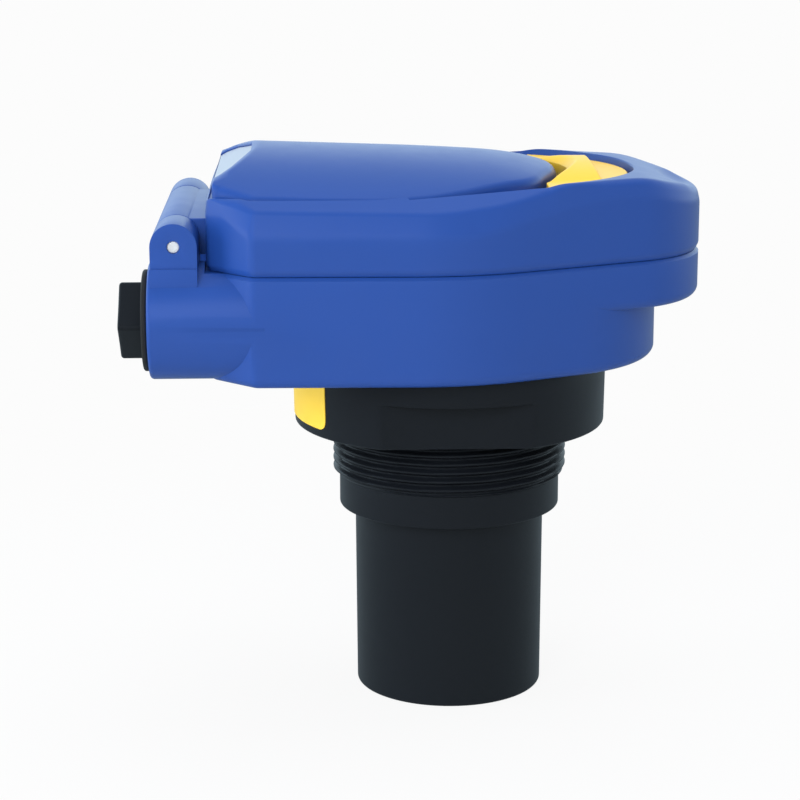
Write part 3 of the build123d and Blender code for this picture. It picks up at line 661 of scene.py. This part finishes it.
hoodShape = Sizes(
    stationX=[-63.0, -38.0, -10.0, 10.0, 20.5, 30.0], crest=[27.2, 26.3, 25.3, 24.2, 22.7, 19.5],
    sag=[9.6, 9.3, 8.9, 8.5, 7.0, 7.0], reach=40.0, smoothing=5.0, grid=(-75.0, 45.0, 601),
    corners=mirrored([(28.9, 0.0), (20.0, 24.0), (-8.0, 38.3), (-49.5, 38.3), (-58.9, 33.4)]),
    radii=[30.0, 12.0, 60.0, 3.0, 2.0, 2.0, 3.0, 60.0, 12.0], wall=2.9, footDrop=0.05,
    rounding=([-58.8, -57.6, -46.0, -32.0, 15.0, 24.0], [0.9, 2.4, 2.6, 1.4, 1.8, 3.0]), roundingSteps=8,
    creaseBlend=0.4, poleX=-18.0, roofIn=3.6, leastSlant=0.5,
    columns=460, roofRows=74, innerRows=16,
)


def rearPlane(x):
    # the sloped rear end of deck and hood, rising from the rear wall
    return lidShape.rearStart + (x - casePlan.rearX) * tan(radians(lidShape.rearSlope))


def deckHeight(x, y):
    # height over the parting plane: the lowest of the flat deck, the nose, a bevel a side, the rear slope and the
    # rear corners, less a thumb scoop at the front
    shape = lidShape
    kneeY, kneeHeight = shape.bevelKnee
    side = kneeHeight + (kneeY - np.abs(y)) * shape.bevelSlope
    nose = shape.deck - (x - shape.noseStart) * tan(radians(shape.noseSlope))
    acrossX, acrossY = shape.chamferNormal
    inside = (x - casePlan.chamferX) * acrossX + (casePlan.chamferHalfWidth - np.abs(y)) * acrossY
    height = softMin(np.full_like(x, shape.deck), nose, shape.noseBlend)
    height = softMin(height, side, shape.bevelBlend)
    height = softMin(height, rearPlane(x), shape.bevelBlend)
    height = softMin(height, shape.rearCorner + shape.rearCornerSlope * inside, shape.rearCornerBlend)
    away = ((x - shape.scoopX) / shape.scoopLength) ** 2 + (y / shape.scoopHalfWidth) ** 2
    return height - shape.scoopDepth * np.clip(1.0 - away, 0.0, 1.0) ** shape.scoopPower


def smoothedStations(values):
    # the straight runs between stations, averaged over a short length so that they bend smoothly
    places = hoodShape.stationX
    x = np.linspace(*hoodShape.grid)
    line = np.interp(x, places, values)
    slope = (values[-1] - values[-2]) / (places[-1] - places[-2])
    line = np.where(x > places[-1], values[-1] + slope * (x - places[-1]), line)
    width = hoodShape.smoothing / (x[1] - x[0])
    taps = np.exp(-0.5 * (np.arange(-3 * width, 3 * width + 1) / width) ** 2)  # a bell of three widths a side
    return np.convolve(np.pad(line, len(taps) // 2, "edge"), taps / taps.sum(), "valid")


stationGrid = np.linspace(*hoodShape.grid)
crestLine, sagLine = smoothedStations(hoodShape.crest), smoothedStations(hoodShape.sag)


def roofHeight(x, y, drop=0.0):
    # a circular arch across, from its crest and sag at each station, cut by the sloped rear plane
    crest, sag = np.interp(x, stationGrid, crestLine), np.interp(x, stationGrid, sagLine)
    radius = (hoodShape.reach ** 2 + sag ** 2) / (2 * sag)
    arch = crest - radius + np.sqrt(radius ** 2 - y ** 2) - drop
    rear = rearPlane(x) - drop / cos(radians(lidShape.rearSlope))
    return softMin(arch, rear, hoodShape.creaseBlend)


def hoodOutline(inset):
    return insetOutline(hoodShape.corners, hoodShape.radii, inset)


def openingRadius(angles):
    # distance to the outer edge of the groove along the hood or of the recess round its nose
    shape = lidShape
    armY = sqrt(shape.recessRadius ** 2 - (shape.armX - shape.recessX) ** 2)
    turn = atan2(armY, shape.armX - shape.recessX)
    arc = fromPolar((shape.recessX, 0.0), np.linspace(-turn, turn, shape.arcPoints), shape.recessRadius)
    backY = hoodShape.corners[2][1] + shape.groove
    run = np.linspace(0.0, 1.0, shape.sidePoints)[1:, None]
    side = np.array([shape.armX, armY]) * (1 - run) + np.array([shape.backX, backY]) * run
    recess = np.concatenate([arc, side, side * (1, -1)])
    groove = radiusAt(hoodOutline(-shape.groove), axisPoint, angles)
    front = np.abs(angles) < atan2(backY, shape.backX)
    return np.maximum(groove, np.where(front, radiusAt(recess, axisPoint, angles), 0.0))


def buildLidFrame():
    # columns all round the rim, each a closed profile: up the wall, over the facet and the deck to the recess,
    # down to its floor, in under the hood, and back along the ceiling and the inside of the wall
    shape = lidShape
    rim, normal = outlineColumns(roundedOutline(planCorners, planRadii), shape.columns)
    band = np.linalg.norm(rim, axis=1) - openingRadius(polarAngles(rim, axisPoint))
    band = band * (unit(rim) * normal).sum(-1)
    share = np.clip((band - shape.fadeFrom) / shape.fadeOver, 0.0, 1.0)
    share = share * share * (3 - 2 * share)  # eased at both ends
    band = np.maximum(band, shape.leastBand)

    def fromRim(inset):
        return rim - normal * np.broadcast_to(inset, band.shape)[:, None]

    deckStart = fromRim(np.minimum(shape.edgeReach, shape.edgeShare * band))
    angles = polarAngles(deckStart, axisPoint)
    openRadius = np.minimum(openingRadius(angles), np.linalg.norm(deckStart, axis=1) - shape.edgeClear)
    opening = fromPolar(axisPoint, angles, openRadius)
    ahead = np.clip((opening[:, 0] + shape.floorFall) / shape.floorFall, 0, 1)
    floorHeight = shape.grooveFloor + (shape.floor - shape.grooveFloor) * ahead

    def topRing(plan):
        deck = deckHeight(plan[:, 0], plan[:, 1])
        return atHeight(plan, partingHeight + floorHeight + (deck - floorHeight) * share)

    facet = topRing(fromRim(np.minimum(np.interp(rim[:, 0], *shape.facetIn), shape.facetShare * band)))
    foot = partingHeight + np.interp(rim[:, 0], *shape.facetFoot)
    steps = np.linspace(0.0, 1.0, shape.deckRows + 1)[1:-1]
    floorZ, ceilingZ = partingHeight + floorHeight, partingHeight + shape.ceiling
    innerRadius = np.minimum(radiusAt(hoodOutline(shape.underHood), axisPoint, angles),
                             openRadius - shape.underClear)
    edge = fromPolar(axisPoint, angles, innerRadius)
    taperOutline = insetOutline(planCorners, planRadii, casePlan.wall + shape.innerTaper)
    taperRadius = np.maximum(radiusAt(taperOutline, axisPoint, angles), innerRadius + shape.ceilingClear)
    stations = [
        atHeight(fromRim(casePlan.wall), lidBase),
        (atHeight(fromRim(shape.rimIn), lidBase - shape.rimDrop), smallRound),
        (atHeight(rim, lidBase + shape.rimUp), shape.rimRound),
        (atHeight(rim, np.minimum(foot, facet[:, 2] - shape.facetLeast)), shape.footRound),
        (facet, shape.facetRound),
        topRing(deckStart),
        *(topRing(deckStart + (opening - deckStart) * t) for t in steps),
        (topRing(opening), shape.openRound),
        (atHeight(fromPolar(axisPoint, angles, openRadius - shape.wallFoot), floorZ), shape.wallRound),
        atHeight(edge, floorZ),
        atHeight(edge, ceilingZ),
        (atHeight(fromPolar(axisPoint, angles, taperRadius), ceilingZ), shape.ceilingRound),
        (atHeight(fromRim(casePlan.wall), partingHeight + shape.innerTaperStart), shape.taperRound),
    ]
    return outward(profileSurface(stations, closed=True))


def buildHood():
    # rings round a point inside the hood: out along the underside, up the side, over its rounded edge, and in
    # along the roof, each at the roof's height over its plan
    shape, pole = hoodShape, (hoodShape.poleX, 0.0)
    edge, normal = outlineColumns(roundedOutline(shape.corners, shape.radii), shape.columns)
    angles = polarAngles(edge, pole)
    slant = np.abs((unit(edge - pole) * normal).sum(-1))
    roofRadius = np.linalg.norm(edge - pole, axis=1) - shape.roofIn / np.maximum(slant, shape.leastSlant)
    innerRadius = radiusAt(hoodOutline(shape.wall), pole, angles)
    footZ = partingHeight + lidShape.ceiling - shape.footDrop

    def roofRing(plan, drop=0.0):
        return atHeight(plan, partingHeight + roofHeight(plan[:, 0], plan[:, 1], drop))

    def roofRings(radius, shares, drop=0.0):
        return [roofRing(fromPolar(pole, angles, radius * share), drop) for share in shares]

    foot = atHeight(edge, footZ)
    roof = roofRings(roofRadius, np.linspace(1.0, 0.0, shape.roofRows + 1)[:-1])
    rings = roofRings(innerRadius, np.linspace(0.0, 1.0, shape.innerRows)[1:], shape.wall)
    rings += [atHeight(fromPolar(pole, angles, innerRadius), footZ), foot]
    rounding = np.interp(edge[:, 0], *shape.rounding)
    rings += cornerArc(foot, roofRing(edge), roof[0], rounding, shape.roundingSteps)
    return outward(ringSurface(rings + roof))


hingeShape = Sizes(barrelRadius=5.6, halfLength=26.0, pinHole=1.58, webLow=4.2, webHigh=4.6, webIn=1.6,
                   round=(0.6, 5), points=96)


def buildKnuckle():
    # a bar along Y whose loops hold Z and X: a barrel round the pin, with a web to the lid's rear wall
    shape, centre = hingeShape, (hingeZ, hingeX)
    webX = casePlan.rearX + shape.webIn
    highX, lowX = (sqrt(shape.barrelRadius ** 2 - shape[web] ** 2) for web in ("webHigh", "webLow"))
    corners = [(hingeZ + shape.webHigh, webX), (hingeZ - shape.webLow, webX)]
    start, end = atan2(lowX, -shape.webLow), fullTurn + atan2(highX, shape.webHigh)
    back = fromPolar(centre, np.linspace(start, end, shape.points), shape.barrelRadius)
    outline = np.concatenate([corners, back])
    hole = fromPolar(centre, np.unwrap(polarAngles(outline, centre)), shape.pinHole)
    return sleeve(1, outline, hole, -shape.halfLength, shape.halfLength, shape.round)


def cutFrom(surface, cutter):
    # the surface with a closed cutter taken away, as points and faces
    holders = [meshObject("cutShape", *shape) for shape in (surface, cutter)]
    step = holders[0].modifiers.new("cut", "BOOLEAN")
    step.operation, step.solver, step.object = "DIFFERENCE", "EXACT", holders[1]
    result = evaluatedMesh(holders[0])
    points = np.empty(len(result.vertices) * 3)
    result.vertices.foreach_get("co", points)
    faces = [tuple(face.vertices) for face in result.polygons]
    for mesh in [holder.data for holder in holders] + [result]:
        bpy.data.meshes.remove(mesh)
    return points.reshape(-1, 3), faces


# Plate and its bed in the sloped rear end of the hood
plateShape = Sizes(sides=[(1.5, 28.0), (6.9, 20.8), (11.6, 8.0)], corner=1.5, gap=0.15, recess=1.4,
                   thickness=0.8, round=(0.12, 3), flare=0.3, flareReach=9.0, lip=0.02, cutterTop=3.0,
                   poleShare=0.05)


def plateOutline(inset):
    corners = [(x, -y) for x, y in plateShape.sides] + plateShape.sides[::-1]
    return insetOutline(corners, [plateShape.corner] * len(corners), inset)


def onSlope(flat, lift):
    # a flat outline laid up the rear slope from its foot and across it, and lifted square to it
    tilt = radians(lidShape.rearSlope)
    along, up = np.array([cos(tilt), 0.0, sin(tilt)]), np.array([-sin(tilt), 0.0, cos(tilt)])
    origin = np.array([casePlan.rearX, 0.0, partingHeight + lidShape.rearStart])
    return origin + flat[:, :1] * along + flat[:, 1:] * (0.0, 1.0, 0.0) + up * lift


def buildPlateBed():
    # the cutter: the plate's outline from the bed's floor up, flaring at the lip and going on above the roof
    shape, outline = plateShape, plateOutline(0.0)
    middle = outline.mean(0)
    pole = scaledLoop(outline, middle, shape.poleShare)
    flared = scaledLoop(outline, middle, 1 + shape.flare / shape.flareReach)
    return outward(ringSurface([onSlope(loop, lift) for loop, lift in (
        (pole, -shape.recess), (outline, -shape.recess), (outline, -shape.flare), (flared, shape.lip),
        (flared, shape.cutterTop), (pole, shape.cutterTop))]))


hoodSurface = cutFrom(buildHood(), buildPlateBed())
makePiece("lidCover", joined(buildLidFrame(), hoodSurface, buildKnuckle()), "lid", "blue_housing", "lid",
          sharpAngle=35.0)


# Sensor body with its pipe thread, collar and two wrench flats
sensorShape = Sizes(
    poleRadii=(2.0, 12.0), faceRadius=24.15, faceRound=(0.9, 6), tubeTopRadius=24.45, tubeTop=48.7,
    tubeRound=(0.35, 3), ringRadius=28.5, ringTop=57.0, ringRound=(0.45, 5),
    threadRadius=30.15, threadDepth=1.35, pitch=2.209, rowsPerTurn=12, leadIn=1.1, leadOut=1.6,
    crestShare=0.1, flankShare=0.8, rootLift=0.1, threadClear=(0.08, 0.02),
    collarBase=71.0, collarRadius=39.9, draft=1.0, collarRound=(0.7, 5),
    flatDistance=35.25, flatTop=82.2, flatBlend=0.3, leastSine=1e-3, ledge=0.25, seatGap=0.02,
    neckRadius=25.0, neckRound=(0.6, 3), boreRadius=21.4, faceWall=3.2, columns=420,
)


def threadRadiusAt(theta, height):
    # right-handed ridges: the crest climbs one pitch a turn; rounded crests and roots, fading out at both ends
    shape = sensorShape
    phase = (height / shape.pitch - theta / fullTurn) % 1.0
    flank = np.clip((1 - np.abs(2 * phase - 1) - shape.crestShare) / shape.flankShare, 0.0, 1.0)
    depth = shape.threadDepth * (0.5 - 0.5 * np.cos(pi * flank))
    fade = np.clip((shape.collarBase - height) / shape.leadOut, 0.0, 1.0)
    start = shape.ringRadius + shape.rootLift + (height - shape.ringTop) * shape.leadIn
    return np.minimum(shape.threadRadius - depth * fade, start)


def collarRadiusAt(height):
    # the collar widens upwards by its draft
    return sensorShape.collarRadius + (height - sensorShape.collarBase) * tan(radians(sensorShape.draft))


def buildSensorBody():
    # a profile turned about Z, from the sensing face up the outside and down the bore; on the flats the radius is
    # the flat's distance over the sine of the angle, where that is less than the collar's
    shape = sensorShape
    theta = np.linspace(0.0, fullTurn, shape.columns, endpoint=False)
    flatRadius = shape.flatDistance / np.maximum(np.abs(np.sin(theta)), shape.leastSine)
    seat, flatEnd = seatHeight - shape.seatGap, shape.flatTop + shape.ledge

    def turned(radius, height):
        return atHeight(fromPolar(axisPoint, theta, np.broadcast_to(radius, theta.shape)), height)

    def flatted(height):
        whole = np.full_like(theta, collarRadiusAt(height))
        return turned(softMin(whole, flatRadius, shape.flatBlend), height)

    clearLow, clearHigh = shape.threadClear
    rows = int((shape.collarBase - shape.ringTop) / shape.pitch * shape.rowsPerTurn)
    stations = [
        *(turned(radius, 0.0) for radius in shape.poleRadii),
        (turned(shape.faceRadius, 0.0), shape.faceRound),
        (turned(shape.tubeTopRadius, shape.tubeTop), shape.tubeRound),
        (turned(shape.ringRadius, shape.tubeTop), shape.ringRound),
        turned(shape.ringRadius, shape.ringTop),
        *(turned(threadRadiusAt(theta, height), height)
          for height in np.linspace(shape.ringTop + clearLow, shape.collarBase - clearHigh, rows)),
        (flatted(shape.collarBase), shape.collarRound),
        (flatted(shape.flatTop), smallRound),
        (turned(collarRadiusAt(flatEnd), flatEnd), smallRound),
        (turned(collarRadiusAt(seat), seat), smallRound),
        turned(shape.neckRadius, seat),
        (turned(shape.neckRadius, neckTop), shape.neckRound),
        (turned(shape.boreRadius, neckTop), smallRound),
        (turned(shape.boreRadius, shape.faceWall), smallRound),
        turned(shape.poleRadii[0], shape.faceWall),
    ]
    return outward(profileSurface(stations))


makePiece("sensorBody", buildSensorBody(), "housing", "black_body", "sensor_body")


# Latch plate: a crescent round the hood's nose, with a finger hump along its inner side and a stem into the lid
latchShape = Sizes(
    outerRadius=36.8, outerX=8.2, circlePoints=1400, armX=22.8, armSlack=1e-6, fanBack=12.0,
    gap=0.3, travel=2.2, lift=0.3, thickness=2.9, humpHeight=3.3, humpSag=3.5,
    humpHalfWidth=24.0, humpFrontX=35.2, humpFootX=36.4, humpBlend=0.7, humpBack=0.6,
    humpBackSlope=1.3, topRound=(0.5, 5), endRound=0.5, endSteps=4, columns=260, rows=46,
    stemX=39.0, stemLength=4.0, stemHalfWidth=7.0, stemCorner=0.6, stemSpacing=0.3, stemSink=1.0,
)
plateTop = partingHeight + lidShape.floor + latchShape.lift + latchShape.thickness


def latchTopHeight(x, y, back):
    # over the plate's top: an arch across Y, between a sloped back and a steep front face, all rounded off
    shape = latchShape
    half, sag = shape.humpHalfWidth, shape.humpSag
    radius = (half ** 2 + sag ** 2) / (2 * sag)
    arch = shape.humpHeight - radius + np.sqrt(np.maximum(radius ** 2 - y ** 2, 0.0))
    face = shape.humpHeight * (shape.humpFootX - x) / (shape.humpFootX - shape.humpFrontX)
    rise = softMin(arch, face, shape.humpBlend)
    rise = softMin(rise, shape.humpBack + shape.humpBackSlope * back, shape.humpBlend)
    return -softMin(-rise, np.zeros_like(rise), shape.humpBlend)


def crescentCurve(outline, count):
    # the stretch of an outline ahead of the arm ends, from one arm to the other, evenly spaced
    armX = latchShape.armX
    ahead = outline[outline[:, 0] >= armX - latchShape.armSlack]
    ahead = ahead[np.argsort(polarAngles(ahead, (armX - latchShape.fanBack, 0.0)))]
    ends = []
    for side in (-1, 1):
        same = outline[np.sign(outline[:, 1]) == side]
        same = same[np.argsort(same[:, 0])]
        ends.append([armX, np.interp(armX, same[:, 0], same[:, 1])])
    ahead = np.vstack([ends[0], ahead, ends[1]])
    length = runLengths(ahead)
    return resampled(ahead, length, np.linspace(0.0, length[-1], count))


def buildCrescent():
    # loops round the plate's thickness carried from arm to arm: inner curve, outer curve, and rows across the top
    shape = latchShape
    outer = crescentCurve(circleLoop((shape.outerX, 0.0), shape.outerRadius, shape.circlePoints),
                          shape.columns)
    inner = crescentCurve(hoodOutline(-shape.gap) + (shape.travel + shape.gap, 0.0), shape.columns)
    low = plateTop - shape.thickness

    def across(plan):
        back = np.linalg.norm(plan - inner, axis=1)
        return atHeight(plan, plateTop + latchTopHeight(plan[:, 0], plan[:, 1], back))

    step = (outer - inner) / shape.rows
    stations = [(atHeight(inner, low), smallRound), (atHeight(outer, low), smallRound),
                (across(outer), shape.topRound),
                *(across(outer - step * k) for k in range(2, shape.rows - 1)),
                (across(inner), shape.topRound)]
    loops = np.stack(roundedProfile(stations, closed=True), 1)
    middle = loops.mean(1, keepdims=True)
    tangent = np.roll(loops, -1, 1) - np.roll(loops, 1, 1)

    def endCap(end):
        # loops that round off the arm's end, drawn in as they step back
        side = unit(np.cross(unit(tangent[end]), (1.0, 0.0, 0.0)))
        side = side if ((middle[end] - loops[end]) * side).sum() > 0 else -side
        angles = np.linspace(0.0, pi / 2, shape.endSteps + 1)[1:, None]
        cap = loops[end] + side * (shape.endRound * (1 - np.cos(angles)))[..., None]
        cap[..., 0] = loops[end][:, 0] - shape.endRound * np.sin(angles)
        return cap

    stack = np.concatenate([endCap(0)[::-1], loops, endCap(-1)])
    stack[..., 0] = np.maximum(stack[..., 0], shape.armX - shape.endRound)
    arms = slice(shape.endSteps, -shape.endSteps)
    stack[arms, :, 0] = np.maximum(stack[arms, :, 0], shape.armX)
    return outward(ringSurface(stack))


def buildStem():
    # a bar with rounded corners from the plate down into the lid
    shape = latchShape
    centre, halfX, halfY = shape.stemX, shape.stemLength / 2, shape.stemHalfWidth
    corners = [(centre + halfX, halfY), (centre - halfX, halfY), (centre - halfX, -halfY), (centre + halfX, -halfY)]
    loop = roundedOutline(corners, [shape.stemCorner] * 4, shape.stemSpacing)
    return outward(ringSurface([atHeight(loop, stemFoot), atHeight(loop, plateTop - shape.stemSink)]))


makePiece("latchPlate", joined(buildCrescent(), buildStem()), "latch", "yellow_latch", "latch_plate")


# Conduit plug, its washer and the hinge pin
plugShape = Sizes(flats=13.9, corner=1.1, spacing=0.15, dishShares=(0.72, 0.8), dish=0.25,
                  dishRound=(0.2, 3), headRound=(0.8, 6), headGap=0.02, shankGap=0.03, shankRadius=9.15,
                  shankWall=2.4, shankRound=(0.5, 5), points=120)
washerShape = Sizes(radius=12.35, bore=9.2, round=(0.6, 5), points=160)
pinShape = Sizes(round=(0.35, 5), poleShare=0.1, points=64)


def buildPlug():
    # a square on its corner carried along X, with a shallow dish in its end, and a hollow shank behind it
    shape = plugShape
    reach = shape.flats / sqrt(2)
    corners = np.array([(reach, 0.0), (0.0, reach), (-reach, 0.0), (0.0, -reach)]) + entryCentre
    loop = roundedOutline(corners, [shape.corner] * 4, shape.spacing)
    dish, lip = (scaledLoop(loop, entryCentre, share) for share in shape.dishShares)
    head = outward(profileSurface([
        acrossAxis(0, dish, plugLow[0] + shape.dish),
        (acrossAxis(0, lip, plugLow[0]), shape.dishRound),
        (acrossAxis(0, loop, plugLow[0]), shape.headRound),
        acrossAxis(0, loop, sealLow[0] + shape.headGap)]))
    outer, bore = (circleLoop(entryCentre, radius, shape.points)
                   for radius in (shape.shankRadius, shape.shankRadius - shape.shankWall))
    return joined(head, sleeve(0, outer, bore, sealLow[0] + shape.shankGap, plugHigh[0], shape.shankRound))


def buildWasher():
    # a flat ring along X
    shape = washerShape
    outer, bore = (circleLoop(entryCentre, shape[size], shape.points) for size in ("radius", "bore"))
    return sleeve(0, outer, bore, sealLow[0], sealHigh[0], shape.round)


def buildPin():
    # a bar along Y with rounded ends, its loops drawn in to a point at each
    centre = (hingeZ, hingeX)
    loop = circleLoop(centre, (pinHigh[0] - pinLow[0]) / 2, pinShape.points)
    pole = scaledLoop(loop, centre, pinShape.poleShare)
    return outward(profileSurface([
        acrossAxis(1, pole, pinLow[1]), (acrossAxis(1, loop, pinLow[1]), pinShape.round),
        (acrossAxis(1, loop, pinHigh[1]), pinShape.round), acrossAxis(1, pole, pinHigh[1])]))


makePiece("conduitPlug", buildPlug(), "housing", "black_body", "conduit_plug")
makePiece("plugWasher", buildWasher(), "housing", "seal_rubber", "plug_seal")
makePiece("hingePin", buildPin(), "housing", "pin_steel", "hinge_pin")


# Label on the collar and plate on the hood
def patchSurface(outline, place, thickness, rounding, poleShare=0.04, rows=10):
    # rings drawn out from the middle of a flat outline, over its edge, and in again on top; place(flat, lift) puts
    # them on the curved or sloped face and lifts them off it
    middle = outline.mean(0)
    shares = np.linspace(poleShare, 1.0, rows)[:-1]
    stations = [place(scaledLoop(outline, middle, share), 0.0) for share in shares]
    stations += [place(outline, 0.0), (place(outline, thickness), rounding)]
    stations += [place(scaledLoop(outline, middle, share), thickness) for share in shares[::-1]]
    return outward(profileSurface(stations))


labelShape = Sizes(start=216.4, sweep=52.0, lowGap=2.3, topGap=0.3, corner=2.4, topCorner=0.8,
                   spacing=0.35, thickness=0.2, round=(0.05, 3), standOff=0.02)


def labelOutline():
    # X is the way round the collar and Y the height
    shape = labelShape
    half = radians(shape.sweep / 2) * sensorShape.collarRadius
    low, high = sensorShape.collarBase + shape.lowGap, seatHeight - shape.topGap
    corners = [(half, low), (half, high), (-half, high), (-half, low)]
    return roundedOutline(corners, [shape.corner, shape.topCorner, shape.topCorner, shape.corner],
                          shape.spacing)


def onCollar(flat, lift):
    # wrapped round the drafted collar, X over its radius being the angle
    shape = labelShape
    theta = radians(shape.start - shape.sweep / 2) + flat[:, 0] / sensorShape.collarRadius
    return atHeight(fromPolar(axisPoint, theta, collarRadiusAt(flat[:, 1]) + shape.standOff + lift), flat[:, 1])


def onBed(flat, lift):
    return onSlope(flat, lift - plateShape.recess)


makePiece("collarLabel", patchSurface(labelOutline(), onCollar, labelShape.thickness, labelShape.round),
          "housing", "label_yellow", "collar_label")
makePiece("hoodPlate", patchSurface(plateOutline(plateShape.gap), onBed, plateShape.thickness,
                                    plateShape.round), "lid", "plate_silver", "nameplate")
print("all pieces built")
